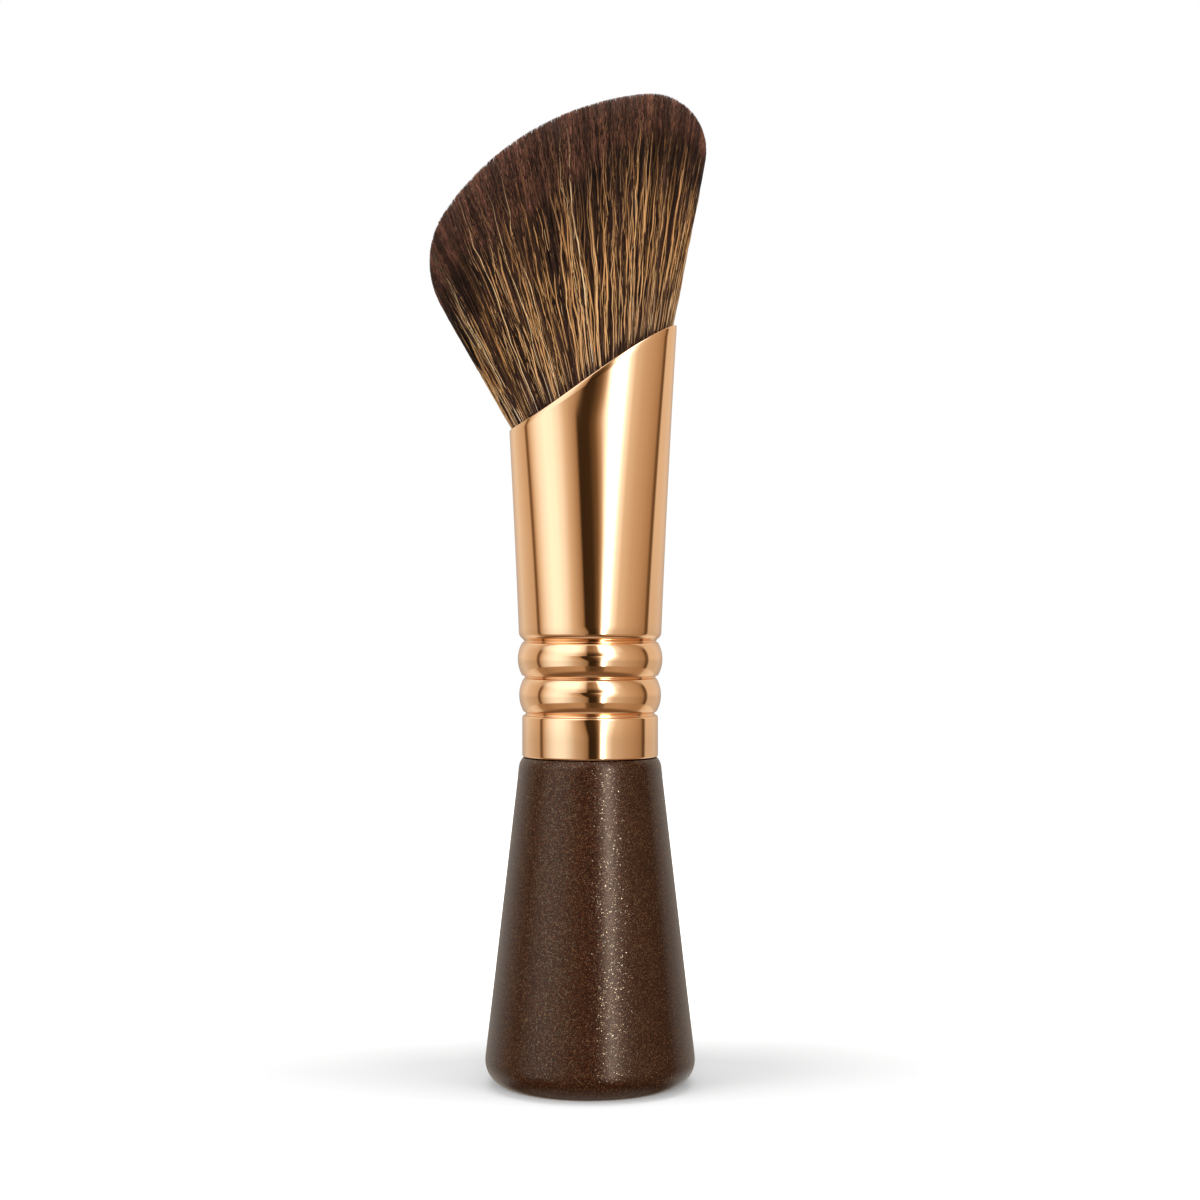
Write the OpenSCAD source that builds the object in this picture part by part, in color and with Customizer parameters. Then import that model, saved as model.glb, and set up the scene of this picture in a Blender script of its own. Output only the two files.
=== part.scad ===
// Angled contour brush: a dense slanted tuft in an oval metal ferrule on a short turned handle.
// Millimetres, +Z up. The origin is the centre of the handle's flat base.
// +X points to the side on which the tuft stands higher, and the front of the brush faces -Y.

/* [Handle] */
// Height of the handle from its base to the shoulder under the ferrule
handle_h = 36.3; // [30:0.1:60]
// Width of the foot, measured where the cone's side would meet the floor
foot_d = 24; // [20:0.1:30]
// Width of the shoulder, measured where the cone's side would meet its top
shoulder_d = 15.6; // [15.4:0.1:18]
// Radius of the rounded edge at the foot
foot_r = 2.8; // [1:0.1:4]
// Radius of the rounding that leads from the cone's side to the ferrule's seat
shoulder_r = 1.8; // [1.4:0.1:2.4]
// Height over which the shoulder is rounded
shoulder_h = 1.2; // [0.6:0.1:1.3]
// Length of the tenon that the ferrule is glued to
tenon_l = 12; // [8:0.1:12.4]
// Glue gap between the tenon and the narrowest ring of the ferrule
tenon_gap = 0.1; // [0.05:0.01:0.2]
// Bevel at the end of the tenon
tenon_bevel = 0.8; // [0.3:0.1:1.5]
// Depth of the glue grooves that are turned into the tenon
key_depth = 0.4; // [0.2:0.05:0.8]
// Width of each glue groove
key_w = 1.2; // [0.6:0.1:2]

/* [Ferrule collar and beads] */
// Thickness of the metal
wall = 0.3; // [0.25:0.01:0.4]
// Gap between the handle's shoulder and the ferrule's lower edge
seat_gap = 0.05; // [0.02:0.01:0.2]
// Width of the plain collar at the bottom
collar_d = 15.1; // [14.6:0.1:15.4]
// Height of the plain collar
collar_h = 4.7; // [3:0.1:8]
// Width of the lower bead
low_bead_d = 15.78; // [15.4:0.02:16.4]
// Width of the upper bead
top_bead_d = 16.1; // [15.6:0.02:16.8]
// Height of each bead
bead_h = 3.6; // [2.4:0.1:4.6]
// Radius of the bead's bulge, seen from the side
bead_r = 3.65; // [2.8:0.05:6]
// Height of the groove under each bead
groove_h = 0.4; // [0.3:0.05:0.8]
// Width across the groove between the collar and the lower bead
low_groove_d = 14.3; // [14:0.05:14.4]
// Width across the groove between the beads
mid_groove_d = 14.5; // [14.2:0.05:14.6]
// Width across the groove above the upper bead
top_groove_d = 14.7; // [14.4:0.05:14.9]

/* [Ferrule body and mouth] */
// Width of the round neck, from which the body is drawn out to an oval
neck_d = 15.86; // [15.6:0.02:16.4]
// Radius of the edge that turns from the body into the top groove
neck_r = 0.9; // [0.6:0.1:1.4]
// Height from the neck to the middle of the mouth
body_h = 28.1; // [22:0.1:36]
// Width of the oval at the high side of the mouth
mouth_w = 19.3; // [17:0.1:21]
// Depth of the oval, front to back, at the high side of the mouth
mouth_d = 12.4; // [11:0.1:15]
// Height by which one side of the mouth stands above the other
mouth_rise = 11.7; // [6:0.1:16]
// Dip of the mouth's edge below a straight slant, at its middle
mouth_dip = 0.33; // [0:0.01:1]
// Strength of the gentle wave along the mouth's edge
mouth_wave = 0.8; // [0:0.05:1.2]

/* [Tuft] */
// Lean of the flank on the low side, in degrees from upright
low_lean = 29.8; // [22:0.2:34]
// Lean of the flank on the high side, in degrees from upright
high_lean = 11.1; // [6:0.1:16]
// Straight length of the low flank above the mouth
low_flank = 16.2; // [14:0.1:20]
// Straight length of the high flank above the mouth
high_flank = 18.8; // [15:0.1:22]
// Radius of the tuft's nose on the low side
low_nose_r = 9.8; // [7:0.1:12]
// Radius of the tuft's nose on the high side
high_nose_r = 6.2; // [4:0.1:8]
// Radius of the long crown between the noses
crown_r = 29.8; // [24:0.1:60]
// Depth of the tuft, front to back, at its fullest
belly_d = 15.4; // [13:0.1:18]
// Distance in from the crown over which the tips round out to the full depth
crown_round = 12; // [9:0.5:14]
// Distance in from the flanks and noses over which the tuft rounds out to its full depth
flank_round = 8; // [6:0.5:9]
// Depth to which the roots reach below the low side of the mouth
root_depth = 13; // [8:0.1:16]
// Gap between the roots and the ferrule's wall
root_gap = 0.16; // [0.14:0.01:0.3]
// Relief of the locks on the tuft's surface
lock_relief = 0.24; // [0.05:0.01:0.3]

/* [Golden hair] */
// Height of a golden hair's back above its own underside
gold_h = 0.09; // [0.06:0.01:0.12]
// Clearance between a golden hair and the dark hair under it, which halves at the mouth
gold_gap = 0.07; // [0.07:0.01:0.1]
// Width of a golden hair, as a share of the lock that it lies on
gold_share = 0.7; // [0.3:0.05:0.9]

/* [Glue plug] */
// Gap between the end of the tenon and the plug of set glue
plug_lift = 0.3; // [0.1:0.1:1]
// Height of the plug's rim around the roots
cup_depth = 1.6; // [0.8:0.1:3]
// Thickness of the plug's rim
cup_rim = 0.8; // [0.5:0.1:1.2]
// Clearance of the plug from the metal and from the roots
plug_gap = 0.04; // [0.02:0.01:0.1]

/* [Hidden] */

ROUND_FN = 96;        // round sections
OVAL_SIDES = 72;      // points around the oval body
TUFT_SIDES = 144;     // locks around the tuft
BEAD_STEPS = 10;      // stretches along the section of a bead
EDGE_STEPS = 4;       // stretches along the section of a small rounded edge
BODY_STEPS = 9;       // rings up the outside of the body
BORE_STEPS = 5;       // rings down the inside of the body
SIDE_STEPS = 5;       // rings up the tuft's sides
DOME_STEPS = 8;       // rings over the rounded top of the tuft
GOLD_STEPS = 7;       // rings of the tuft that the longest golden hairs pass
GOLD_THINNING = -0.2; // from -1 for a golden hair on every lock to 1 for none
NECK_TURN = 62;       // degrees through which the neck's edge turns in
TONGUE = 0.1;         // how far the body's lower end sits inside the metal of the top groove
WIDTH_EASE = 0.2;     // share of the widening that comes late, towards the mouth
DEPTH_EASE = 0.5;     // share of the flattening that comes late, towards the mouth
BELLY_AT = 0.4;       // share of a hair's free length at which the tuft is fullest
DOME_END = 86;        // degrees through which the dome turns before the flat strip at its crown

// Heights of the rings of the ferrule, from the bottom up
ferrule_z = handle_h + seat_gap;
collar_top_z = ferrule_z + collar_h;
low_bead_z = collar_top_z + groove_h;
top_bead_z = low_bead_z + bead_h + groove_h;
ring_top_z = top_bead_z + bead_h + groove_h / 2;
neck_z = ring_top_z + groove_h / 2 + neck_r * sin(NECK_TURN);
mouth_z = neck_z + body_h;
mouth_low_z = mouth_z - mouth_rise / 2;
mouth_high_z = mouth_z + mouth_rise / 2;

// Tenon, roots and plug
tenon_d = low_groove_d - 2 * wall - 2 * tenon_gap;
root_z = mouth_low_z - root_depth;
plug_z = handle_h + tenon_l + plug_lift;

// Points along an arc from one angle to another
function arc(centre, r, from, to, steps) = [
    for (k = [0 : steps]) let (a = from + (to - from) * k / steps) centre + r * [cos(a), sin(a)]
];

// List in the opposite order
function reversed(list) = [for (k = [len(list) - 1 : -1 : 0]) list[k]];

// Moves a share t of a change later: ease 0 leaves it even, ease 1 brings it wholly late
function eased(t, ease) = (1 - ease) * t + ease * t * t;

// Rise of a rounded edge at a distance in from it: 0 at the edge, 1 from the radius inwards
function rounded(distance, r) = sqrt(max(0, 1 - (1 - min(1, distance / r)) ^ 2));

// Height of the mouth's edge at u, which runs from -1 on the low side to 1 on the high side
function mouth_at(u) =
    mouth_z + u * mouth_rise / 2 - (1 - u * u) * (mouth_dip - mouth_wave * u);

// Half-width and half-depth of the outside of the ferrule's body at height z
function body_share(z) = (z - neck_z) / (mouth_high_z - neck_z);
function half_w(z) = neck_d / 2 + (mouth_w - neck_d) / 2 * eased(body_share(z), WIDTH_EASE);
function half_d(z) = neck_d / 2 + (mouth_d - neck_d) / 2 * eased(body_share(z), DEPTH_EASE);

// Ring around the body, inset from its outside, at a share t of the way from the neck to the mouth
function body_ring(t, inset, lift = 0) = [
    for (i = [0 : OVAL_SIDES - 1])
        let (a = 360 * i / OVAL_SIDES, z = neck_z + t * (mouth_at(cos(a)) - neck_z))
        [(half_w(z) - inset) * cos(a), (half_d(z) - inset) * sin(a), z + lift]
];

// Level ring at height z, inset from the outside of the body
function level_ring(z, inset) = [
    for (i = [0 : OVAL_SIDES - 1])
        let (a = 360 * i / OVAL_SIDES)
        [(half_w(z) - inset) * cos(a), (half_d(z) - inset) * sin(a), z]
];

// Level round ring
function round_ring(r, z) = [
    for (i = [0 : OVAL_SIDES - 1]) let (a = 360 * i / OVAL_SIDES) [r * cos(a), r * sin(a), z]
];

// Faces of the band between two rings of n points, whose first points are a and b
function band_faces(n, a, b) = [
    for (i = [0 : n - 1]) let (k = (i + 1) % n) each [[a + i, b + i, b + k], [a + i, b + k, a + k]]
];

// Faces that close a ring of n points, whose halves mirror each other about its first point
function cap_faces(n, start, upward) = [
    for (i = [0 : n / 2 - 1])
        let (a = start + i, b = a + 1, c = start + n - 1 - i, d = start + (n - i) % n)
        each upward
            ? concat([[a, c, b]], i > 0 ? [[a, d, c]] : [])
            : concat([[a, b, c]], i > 0 ? [[a, c, d]] : [])
];

// Solid through a stack of rings, closed at both ends
module stack(rings) {
    n = len(rings[0]);
    m = len(rings);
    faces = concat(
        [for (j = [0 : m - 2]) each band_faces(n, j * n, (j + 1) * n)],
        cap_faces(n, 0, false),
        cap_faces(n, n * (m - 1), true)
    );
    polyhedron(points = [for (ring = rings) each ring], faces = faces, convexity = 6);
}

// Tube wall through rings that go up its outside and come down its inside
module tube_wall(rings) {
    n = len(rings[0]);
    m = len(rings);
    faces = [for (j = [0 : m - 1]) each band_faces(n, j * n, (j + 1) % m * n)];
    polyhedron(points = [for (ring = rings) each ring], faces = faces, convexity = 6);
}

// Half section of the handle's cone, with its rounded foot and shoulder
module cone_section() {
    slope = atan((foot_d - shoulder_d) / 2 / handle_h);
    foot_x = foot_d / 2 - foot_r * (1 + sin(slope)) / cos(slope);
    round_z = handle_h - shoulder_h;
    round_x = foot_d / 2 - (shoulder_r + round_z * sin(slope)) / cos(slope);
    seat_x = round_x + sqrt(shoulder_r ^ 2 - shoulder_h ^ 2);
    polygon([
        [0, 0],
        [foot_x, 0],
        [foot_x + foot_r * cos(slope), foot_r + foot_r * sin(slope)],
        [round_x + shoulder_r * cos(slope), round_z + shoulder_r * sin(slope)],
        [seat_x, handle_h],
        [0, handle_h]
    ]);
    translate([foot_x, foot_r]) circle(r = foot_r, $fn = ROUND_FN);
    intersection() {
        translate([round_x, round_z]) circle(r = shoulder_r, $fn = ROUND_FN);
        square([foot_d, handle_h]);
    }
}

// Half section of the tenon, with a bevelled end and two glue grooves
module tenon_section() {
    r = tenon_d / 2;
    top = handle_h + tenon_l;
    difference() {
        polygon([
            [0, handle_h - shoulder_h],
            [r, handle_h - shoulder_h],
            [r, top - tenon_bevel],
            [r - tenon_bevel, top],
            [0, top]
        ]);
        for (share = [1 / 3, 2 / 3])
            translate([r - key_depth, handle_h + tenon_l * share - key_w / 2])
                square([2 * key_depth, key_w]);
    }
}

// Turned handle: a plain cone on a flat base, with a tenon for the ferrule
module handle() {
    color([0.25, 0.16, 0.13])
        rotate_extrude($fn = ROUND_FN) {
            cone_section();
            tenon_section();
        }
}

// Line up the section of one bead, or of the hollow inside it when inset by the wall
function bead_line(d, z, inset) =
    let (turn = asin((bead_h / 2 - inset) / (bead_r - inset)))
    arc([d / 2 - bead_r, z + bead_h / 2], bead_r - inset, -turn, turn, BEAD_STEPS);

// Lines up the outside and the inside of the collar
function collar_line() =
    let (r = collar_d / 2 - wall)
    concat(
        arc([r, ferrule_z + wall], wall, -90, 0, EDGE_STEPS),
        arc([r, collar_top_z - wall], wall, 0, 90, EDGE_STEPS)
    );
function collar_bore_line() =
    let (r = collar_d / 2 - wall)
    [[r, ferrule_z], [r, collar_top_z - wall]];

// Line up the collar, the grooves and the beads, on the outside or inset by the wall
function ring_line(inset) = concat(
    inset > 0 ? collar_bore_line() : collar_line(),
    [[low_groove_d / 2 - inset, collar_top_z + groove_h / 2]],
    bead_line(low_bead_d, low_bead_z, inset),
    [[mid_groove_d / 2 - inset, top_bead_z - groove_h / 2]],
    bead_line(top_bead_d, top_bead_z, inset),
    [[top_groove_d / 2 - inset, ring_top_z]]
);

// Ring along the neck's lower edge, after it has turned in by an angle
function neck_ring(turn, inset) =
    let (r = neck_r - inset)
    round_ring(neck_d / 2 - inset - r * (1 - cos(turn)), neck_z - r * sin(turn));

// Body of the ferrule: from a round neck to a flattened oval with a slanted, rounded lip
module ferrule_body() {
    outer_tongue = top_groove_d / 2 - TONGUE;
    inner_tongue = top_groove_d / 2 - wall + TONGUE;
    lip = wall / 2;
    tube_wall(concat(
        [round_ring(outer_tongue, ring_top_z - wall), round_ring(outer_tongue, ring_top_z + TONGUE)],
        [for (turn = [NECK_TURN, NECK_TURN * 2 / 3, NECK_TURN / 3]) neck_ring(turn, 0)],
        [for (j = [0 : BODY_STEPS]) body_ring(j / BODY_STEPS, 0)],
        [for (turn = [45, 90, 135]) body_ring(1, lip * (1 - cos(turn)), lip * sin(turn))],
        [for (j = [BORE_STEPS : -1 : 0]) body_ring(j / BORE_STEPS, wall)],
        [neck_ring(NECK_TURN, wall)],
        [round_ring(inner_tongue, ring_top_z + TONGUE), round_ring(inner_tongue, ring_top_z - wall)]
    ));
}

// Drawn metal ferrule: one tube, from the collar and beads up to the mouth
module ferrule() {
    color([0.80, 0.60, 0.50]) {
        rotate_extrude($fn = ROUND_FN)
            polygon(concat(ring_line(0), reversed(ring_line(wall))));
        ferrule_body();
    }
}

// Plug of set glue between the tenon and the roots, with a shallow cup that holds the roots
module glue_plug() {
    skin = wall + plug_gap;
    stem_r = top_groove_d / 2 - skin;
    color([0.75, 0.62, 0.35])
        stack([
            round_ring(stem_r, plug_z),
            round_ring(stem_r, ring_top_z + groove_h / 2),
            level_ring(neck_z, skin),
            level_ring(root_z + cup_depth, skin),
            level_ring(root_z + cup_depth, skin + cup_rim),
            level_ring(root_z - plug_gap, skin + cup_rim)
        ]);
}

// Corners of the mouth, where the flanks of the tuft leave the ferrule, on side -1 or 1
function mouth_corner(side) = [side * (half_w(mouth_at(side)) - wall - root_gap), mouth_at(side)];
low_corner = mouth_corner(-1);
high_corner = mouth_corner(1);

// Point below, from which the flanks and all the hairs between them fan out
fan_h = (high_corner.x - low_corner.x - (high_corner.y - low_corner.y) * tan(high_lean))
    / (tan(low_lean) + tan(high_lean));
fan = [low_corner.x + fan_h * tan(low_lean), low_corner.y - fan_h];

// Direction that leans from upright towards +X by an angle, and the lean of a point seen from the fan
function leaning(angle) = [sin(angle), cos(angle)];
function bearing(p) = atan2(p.x - fan.x, p.y - fan.y);

// Centres of the two noses, and of the crown's arc that touches both
low_nose = low_corner + low_flank * leaning(-low_lean) + low_nose_r * leaning(90 - low_lean);
high_nose = high_corner + high_flank * leaning(high_lean) + high_nose_r * leaning(high_lean - 90);
nose_span = norm(high_nose - low_nose);
nose_way = (high_nose - low_nose) / nose_span;
low_reach = crown_r - low_nose_r;
high_reach = crown_r - high_nose_r;
crown_run = (low_reach ^ 2 - high_reach ^ 2 + nose_span ^ 2) / (2 * nose_span);
crown_drop = sqrt(low_reach ^ 2 - crown_run ^ 2);
crown = low_nose + crown_run * nose_way + crown_drop * [nose_way.y, -nose_way.x];

// Leans at which the crown's arc meets the noses
low_join = bearing(low_nose + (low_nose - crown) / low_reach * low_nose_r);
high_join = bearing(high_nose + (high_nose - crown) / high_reach * high_nose_r);

// Distance from the fan's point to the far side of a circle, along a lean
function far_side(lean, centre, r) =
    let (way = leaning(lean), c = centre - fan, off = c.x * way.y - c.y * way.x)
    c * way + sqrt(max(0, r ^ 2 - off ^ 2));

// Distance from the fan's point to the tuft's outline, along a lean
function outline(lean) =
    lean < low_join ? far_side(lean, low_nose, low_nose_r)
    : lean > high_join ? far_side(lean, high_nose, high_nose_r)
    : far_side(lean, crown, crown_r);

// Distance of a point in from one flank and the nose above it, or a long way where the crown is nearer
FAR = 1000;
function from_side(p, corner, lean, flank, nose, r) =
    let (
        side = sign(lean),
        up = (p - corner) * leaning(lean),
        in = (p - corner) * leaning(lean - 90 * side),
        join = nose - crown,
        off = (join.x * (p - nose).y - join.y * (p - nose).x) * side
    )
    up <= flank ? in : off < 0 ? r - norm(p - nose) : FAR;

// Distance over which the tuft rounds out near its crown, which is greatest in the middle of the crown
function crown_rounding(lean) =
    flank_round + (crown_round - flank_round)
        * sin(180 * max(0, min(1, (lean - low_join) / (high_join - low_join))));

// Share of its full depth that the tuft has at a point, from 0 on its outline to 1 well inside it
function plumpness(p) = rounded(min(
    from_side(p, low_corner, -low_lean, low_flank, low_nose, low_nose_r) / flank_round,
    from_side(p, high_corner, high_lean, high_flank, high_nose, high_nose_r) / flank_round,
    (crown_r - norm(p - crown)) / crown_rounding(bearing(p))
), 1);

// Uneven ripple around the tuft, from -1 to 1, that makes its locks
function ripple(i) = 0.6 * sin(137.5 * i) + 0.4 * sin(61 * i + 40);

// Point where the hair at position i around the tuft leaves the mouth, seen from the front
function mouth_point(i) =
    let (u = -cos(360 * i / TUFT_SIDES), z = mouth_at(u))
    [u * (half_w(z) - wall - root_gap), z];
function free_length(i) = outline(bearing(mouth_point(i))) - norm(mouth_point(i) - fan);

// Point of the tuft's surface at position i around it and a share s of the free length
function tuft_point(i, s) =
    let (
        front = sin(360 * i / TUFT_SIDES),
        start = mouth_point(i),
        relief = lock_relief * ripple(i) * min(1, s / BELLY_AT),
        p = fan + (norm(start - fan) + s * (free_length(i) + min(0, relief))) * leaning(bearing(start)),
        grown = sin(90 * min(1, s / BELLY_AT)),
        mouth_depth = half_d(start.y) - wall - root_gap,
        depth = mouth_depth + (belly_d / 2 - mouth_depth) * grown + relief,
        blend = eased(min(1, s / BELLY_AT), 0.5)
    )
    [p.x, -sign(front) * depth * ((1 - blend) * abs(front) + blend * plumpness(p)), p.y];

// Share of the free length at which the tuft has its ring j, with ring 0 at the mouth
function ring_share(i, j) =
    let (dome = min(1, crown_round / free_length(i)))
    j <= SIDE_STEPS
        ? (1 - dome) * j / SIDE_STEPS
        : 1 - dome * (1 - sin(DOME_END * (j - SIDE_STEPS) / DOME_STEPS));

// Ring of the roots at a share t of the way from their lower end to the mouth
function root_ring(t, inset) = [
    for (i = [0 : TUFT_SIDES - 1])
        let (a = 360 * i / TUFT_SIDES, z = root_z + t * (mouth_at(-cos(a)) - root_z))
        [-cos(a) * (half_w(z) - wall - inset), -sin(a) * (half_d(z) - wall - inset), z]
];

// Dense tuft of dark hair: straight roots in the ferrule, and a fan of locks above it
module dark_hair() {
    knot_inset = cup_rim + 2 * plug_gap;
    color([0.20, 0.11, 0.07])
        stack(concat(
            [root_ring(0, knot_inset), root_ring(0.25, knot_inset)],
            [root_ring(0.45, root_gap), root_ring(1, root_gap)],
            [for (j = [1 : SIDE_STEPS + DOME_STEPS])
                [for (i = [0 : TUFT_SIDES - 1]) tuft_point(i, ring_share(i, j))]]
        ));
}

// Point over the lock between positions i and i + 1, raised off the dark hair
function over_lock(i, j, share, lift) =
    let (
        turn = 360 * (i + 0.5) / TUFT_SIDES,
        a = tuft_point(i, ring_share(i, j)),
        b = tuft_point(i + 1, ring_share(i + 1, j))
    )
    a + share * (b - a) - lift * [cos(turn), sin(turn), 0];

// One golden hair: a slender three-sided blade that lies along a lock and ends in a fine tip
module golden_blade(i) {
    steps = ripple(3 * i) > 0 ? GOLD_STEPS : GOLD_STEPS - 1;
    points = [
        for (j = [0 : steps])
            let (
                thin = 1 - 0.7 * (j / steps) ^ 2,
                half = gold_share / 2 * thin,
                gap = j == 0 ? gold_gap / 2 : gold_gap
            )
            each [
                over_lock(i, j, 0.5 - half, gap),
                over_lock(i, j, 0.5, gap + gold_h * thin),
                over_lock(i, j, 0.5 + half, gap)
            ]
    ];
    faces = concat(
        [[0, 1, 2]],
        [for (j = [0 : steps - 1]) each band_faces(3, 3 * j, 3 * j + 3)],
        [[3 * steps + 2, 3 * steps + 1, 3 * steps]]
    );
    polyhedron(points = points, faces = faces, convexity = 2);
}

// Golden hairs scattered all around the tuft
module golden_hair() {
    color([0.62, 0.42, 0.20])
        for (i = [0 : TUFT_SIDES - 1])
            if (sin(222.5 * i) > GOLD_THINNING)
                golden_blade(i);
}

handle();
ferrule();
glue_plug();
dark_hair();
golden_hair();
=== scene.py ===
import math

import bpy
import numpy as np
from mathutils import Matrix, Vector

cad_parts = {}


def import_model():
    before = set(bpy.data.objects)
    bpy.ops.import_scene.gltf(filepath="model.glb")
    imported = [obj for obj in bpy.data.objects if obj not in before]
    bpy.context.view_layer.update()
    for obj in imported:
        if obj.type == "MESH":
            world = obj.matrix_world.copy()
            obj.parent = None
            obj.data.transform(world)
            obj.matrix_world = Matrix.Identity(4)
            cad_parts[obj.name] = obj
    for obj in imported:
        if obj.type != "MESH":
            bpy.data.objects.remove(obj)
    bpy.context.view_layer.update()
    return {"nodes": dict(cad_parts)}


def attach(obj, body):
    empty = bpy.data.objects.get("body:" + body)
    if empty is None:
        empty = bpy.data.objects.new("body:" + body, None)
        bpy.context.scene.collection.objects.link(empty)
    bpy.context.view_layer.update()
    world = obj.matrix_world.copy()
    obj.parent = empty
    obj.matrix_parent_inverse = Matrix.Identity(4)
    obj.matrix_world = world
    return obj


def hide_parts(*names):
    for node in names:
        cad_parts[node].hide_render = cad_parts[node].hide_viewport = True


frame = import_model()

MM = 0.001

# The brush's own sizes, in millimetres, under the names that its solids have.
HANDLE_H = 36.3
WALL = 0.3
SEAT_GAP = 0.05
COLLAR_D, COLLAR_H = 15.1, 4.7
LOW_BEAD_D, TOP_BEAD_D = 15.78, 16.1
BEAD_H, BEAD_R = 3.6, 3.65
GROOVE_H = 0.4
LOW_GROOVE_D, MID_GROOVE_D, TOP_GROOVE_D = 14.3, 14.5, 14.7
NECK_D, NECK_R, NECK_TURN = 15.86, 0.9, 62
BODY_H = 28.1
MOUTH_W, MOUTH_D = 19.3, 12.4
MOUTH_RISE, MOUTH_DIP, MOUTH_WAVE = 11.7, 0.33, 0.8
LOW_LEAN, HIGH_LEAN = 29.8, 11.1
LOW_FLANK, HIGH_FLANK = 16.2, 18.8
LOW_NOSE_R, HIGH_NOSE_R, CROWN_R = 9.8, 6.2, 29.8
BELLY_D, CROWN_ROUND, FLANK_ROUND = 15.4, 12, 8
ROOT_GAP = 0.16
WIDTH_EASE, DEPTH_EASE, BELLY_AT = 0.2, 0.5, 0.4

FERRULE_Z = HANDLE_H + SEAT_GAP
COLLAR_TOP_Z = FERRULE_Z + COLLAR_H
LOW_BEAD_Z = COLLAR_TOP_Z + GROOVE_H
TOP_BEAD_Z = LOW_BEAD_Z + BEAD_H + GROOVE_H
RING_TOP_Z = TOP_BEAD_Z + BEAD_H + GROOVE_H / 2
NECK_Z = RING_TOP_Z + GROOVE_H / 2 + NECK_R * math.sin(math.radians(NECK_TURN))
MOUTH_Z = NECK_Z + BODY_H
MOUTH_HIGH_Z = MOUTH_Z + MOUTH_RISE / 2


# Shape of the ferrule and of the tuft

def eased(t, ease):
    """Moves a share t of a change later: ease 0 leaves it even, ease 1 brings it wholly late."""
    return (1 - ease) * t + ease * t * t


def mouth_at(u):
    """Height of the mouth's edge, with u from -1 on the low side to 1 on the high side."""
    return MOUTH_Z + u * MOUTH_RISE / 2 - (1 - u * u) * (MOUTH_DIP - MOUTH_WAVE * u)


def body_share(z):
    """Share of the way up the ferrule's body, from its neck to the high side of its mouth."""
    return (z - NECK_Z) / (MOUTH_HIGH_Z - NECK_Z)


def half_w(z):
    """Half the width of the ferrule's body at height z."""
    return NECK_D / 2 + (MOUTH_W - NECK_D) / 2 * eased(body_share(z), WIDTH_EASE)


def half_d(z):
    """Half the depth of the ferrule's body at height z."""
    return NECK_D / 2 + (MOUTH_D - NECK_D) / 2 * eased(body_share(z), DEPTH_EASE)


def leaning(angle):
    """Directions that lean from upright towards +X by an angle in degrees."""
    a = np.radians(angle)
    return np.stack([np.sin(a), np.cos(a)], axis=-1)


def mouth_points(u):
    """Points at which the hairs leave the mouth, seen from the front."""
    z = mouth_at(u)
    return np.stack([u * (half_w(z) - WALL - ROOT_GAP), z], axis=-1)


LOW_CORNER, HIGH_CORNER = mouth_points(np.array([-1.0, 1.0]))
SPAN = HIGH_CORNER - LOW_CORNER
LOW_SLOPE, HIGH_SLOPE = math.tan(math.radians(LOW_LEAN)), math.tan(math.radians(HIGH_LEAN))
FAN_H = (SPAN[0] - SPAN[1] * HIGH_SLOPE) / (LOW_SLOPE + HIGH_SLOPE)
FAN = LOW_CORNER + np.array([FAN_H * LOW_SLOPE, -FAN_H])
LOW_NOSE = LOW_CORNER + LOW_FLANK * leaning(-LOW_LEAN) + LOW_NOSE_R * leaning(90 - LOW_LEAN)
HIGH_NOSE = HIGH_CORNER + HIGH_FLANK * leaning(HIGH_LEAN) + HIGH_NOSE_R * leaning(HIGH_LEAN - 90)
NOSE_SPAN = np.linalg.norm(HIGH_NOSE - LOW_NOSE)
NOSE_WAY = (HIGH_NOSE - LOW_NOSE) / NOSE_SPAN
LOW_REACH, HIGH_REACH = CROWN_R - LOW_NOSE_R, CROWN_R - HIGH_NOSE_R
CROWN_RUN = (LOW_REACH ** 2 - HIGH_REACH ** 2 + NOSE_SPAN ** 2) / (2 * NOSE_SPAN)
CROWN = (LOW_NOSE + CROWN_RUN * NOSE_WAY
         + math.sqrt(LOW_REACH ** 2 - CROWN_RUN ** 2) * np.array([NOSE_WAY[1], -NOSE_WAY[0]]))


def bearing(p):
    """Lean of points seen from where all the hairs fan out, in degrees."""
    return np.degrees(np.arctan2(p[..., 0] - FAN[0], p[..., 1] - FAN[1]))


LOW_JOIN = float(bearing(LOW_NOSE + (LOW_NOSE - CROWN) / LOW_REACH * LOW_NOSE_R))
HIGH_JOIN = float(bearing(HIGH_NOSE + (HIGH_NOSE - CROWN) / HIGH_REACH * HIGH_NOSE_R))


def far_side(lean, centre, r):
    """Distance from the fan's point to the far side of a circle, along a lean."""
    way, c = leaning(lean), centre - FAN
    off = c[0] * way[..., 1] - c[1] * way[..., 0]
    return way @ c + np.sqrt(np.maximum(0, r ** 2 - off ** 2))


def outline(lean):
    """Distance from the fan's point to the tuft's outline, along a lean."""
    return np.where(
        lean < LOW_JOIN, far_side(lean, LOW_NOSE, LOW_NOSE_R),
        np.where(lean > HIGH_JOIN, far_side(lean, HIGH_NOSE, HIGH_NOSE_R),
                 far_side(lean, CROWN, CROWN_R)))


def free_length(start):
    """Length of the hairs that leave the mouth at points, up to the tuft's outline."""
    return outline(bearing(start)) - np.linalg.norm(start - FAN, axis=-1)


def rounded(share):
    """Rise of a rounded edge: 0 at the edge, 1 from a whole share inwards."""
    return np.sqrt(np.maximum(0, 1 - (1 - np.clip(share, 0, 1)) ** 2))


def from_flank(p, corner, lean):
    """Distance of points in from a flank, whose line goes on above its nose."""
    return (p - corner) @ leaning(lean - 90 * math.copysign(1, lean))


# Distance, in millimetres, that counts as out of reach.
FAR = 1000.0


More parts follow.
